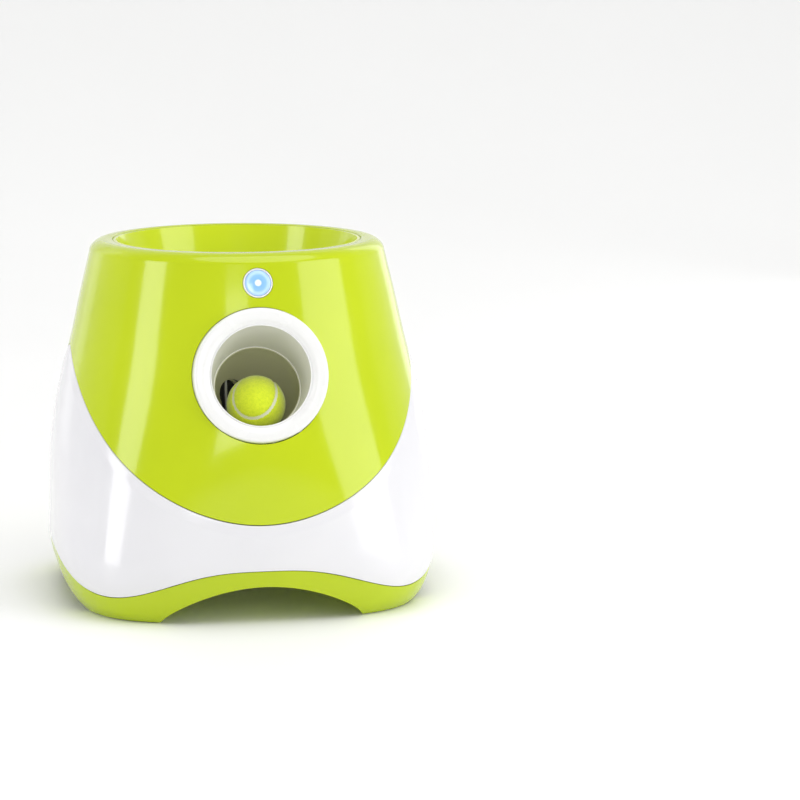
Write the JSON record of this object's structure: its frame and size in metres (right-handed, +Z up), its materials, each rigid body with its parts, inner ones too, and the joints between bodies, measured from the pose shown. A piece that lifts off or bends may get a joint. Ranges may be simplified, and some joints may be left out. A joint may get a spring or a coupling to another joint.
{
  "type": "automatic dog ball launcher",
  "caption": "Rounded two-tone ball launcher with an open hopper on top, a tilted muzzle in front, a lit push button and a geared spring striker inside.",
  "frame": {"origin": "centre of the footprint on the floor", "axes": "+Z up, the muzzle looks along -Y, +X to the right seen from the front"},
  "size_m": [0.3154, 0.3154, 0.2924],
  "materials": {
    "green_plastic": "gloss",
    "white_plastic": "gloss",
    "grey_plastic": "matte",
    "black_plastic": "matte",
    "lit_button": "gloss",
    "gear_nylon": "satin",
    "steel": "satin",
    "circuit_board": "satin",
    "rubber": "matte",
    "ball_felt": "matte",
    "cell_jacket": "satin"
  },
  "bodies": {
    "housing": {"upper_shell": "green_plastic", "lower_shell": "white_plastic", "base_tray": "green_plastic", "hopper_bowl": "green_plastic", "muzzle_ring": "white_plastic", "barrel_cup": "grey_plastic", "sensor_window": "black_plastic", "feed_chute": "white_plastic", "striker_guide": "black_plastic", "striker_spring": "steel", "gear_motor": "steel", "side_plate_left": "steel", "side_plate_right": "steel", "sector_shaft": "steel", "roller_shaft": "steel", "support_roller": "steel", "plate_spacers": "steel", "button_bezel": "white_plastic", "button_board": "circuit_board", "button_switch": "black_plastic", "battery_box": "grey_plastic", "battery_cells": "cell_jacket", "battery_door": "green_plastic", "battery_contacts": "steel", "main_board": "circuit_board", "board_spacers": "gear_nylon", "dc_jack": "black_plastic", "rubber_feet": "rubber", "base_screws": "steel"},
    "button": {"power_button": "lit_button"},
    "striker": {"striker_rod": "steel", "striker_pad": "rubber"},
    "sector": {"sector_gear": "gear_nylon"},
    "pinion": {"motor_pinion": "gear_nylon"},
    "ball": {"tennis_ball": "ball_felt"}
  },
  "joints": [
    {"name": "button_press", "type": "slide", "parent": "housing", "child": "button", "axis": [0, 0.9703, -0.2419], "range_m": [0, 0.0015], "stiffness_N_per_m": 300},
    {"name": "sector_turn", "type": "hinge", "parent": "housing", "child": "sector", "pos_m": [0, 0.07433, 0.11342], "axis": [1, 0, 0], "range_deg": [0, 138]},
    {"name": "striker_slide", "type": "slide", "parent": "housing", "child": "striker", "axis": [0, 0.8829, -0.4695], "range_m": [0, 0.05831], "deforming": ["striker_spring"]},
    {"name": "pinion_turn", "type": "hinge", "parent": "housing", "child": "pinion", "pos_m": [0, 0.0389, 0.15417], "axis": [1, 0, 0], "range_deg": [-500, 10]},
    {"name": "ball_launch", "type": "slide", "parent": "housing", "child": "ball", "axis": [0, -0.8829, 0.4695], "range_m": [0, 0.12]}
  ],
  "couplings": [
    {"joint": "striker_slide", "follows": "sector_turn", "m_per_rad": 0.024},
    {"joint": "pinion_turn", "follows": "sector_turn", "ratio": -3.5}
  ]
}
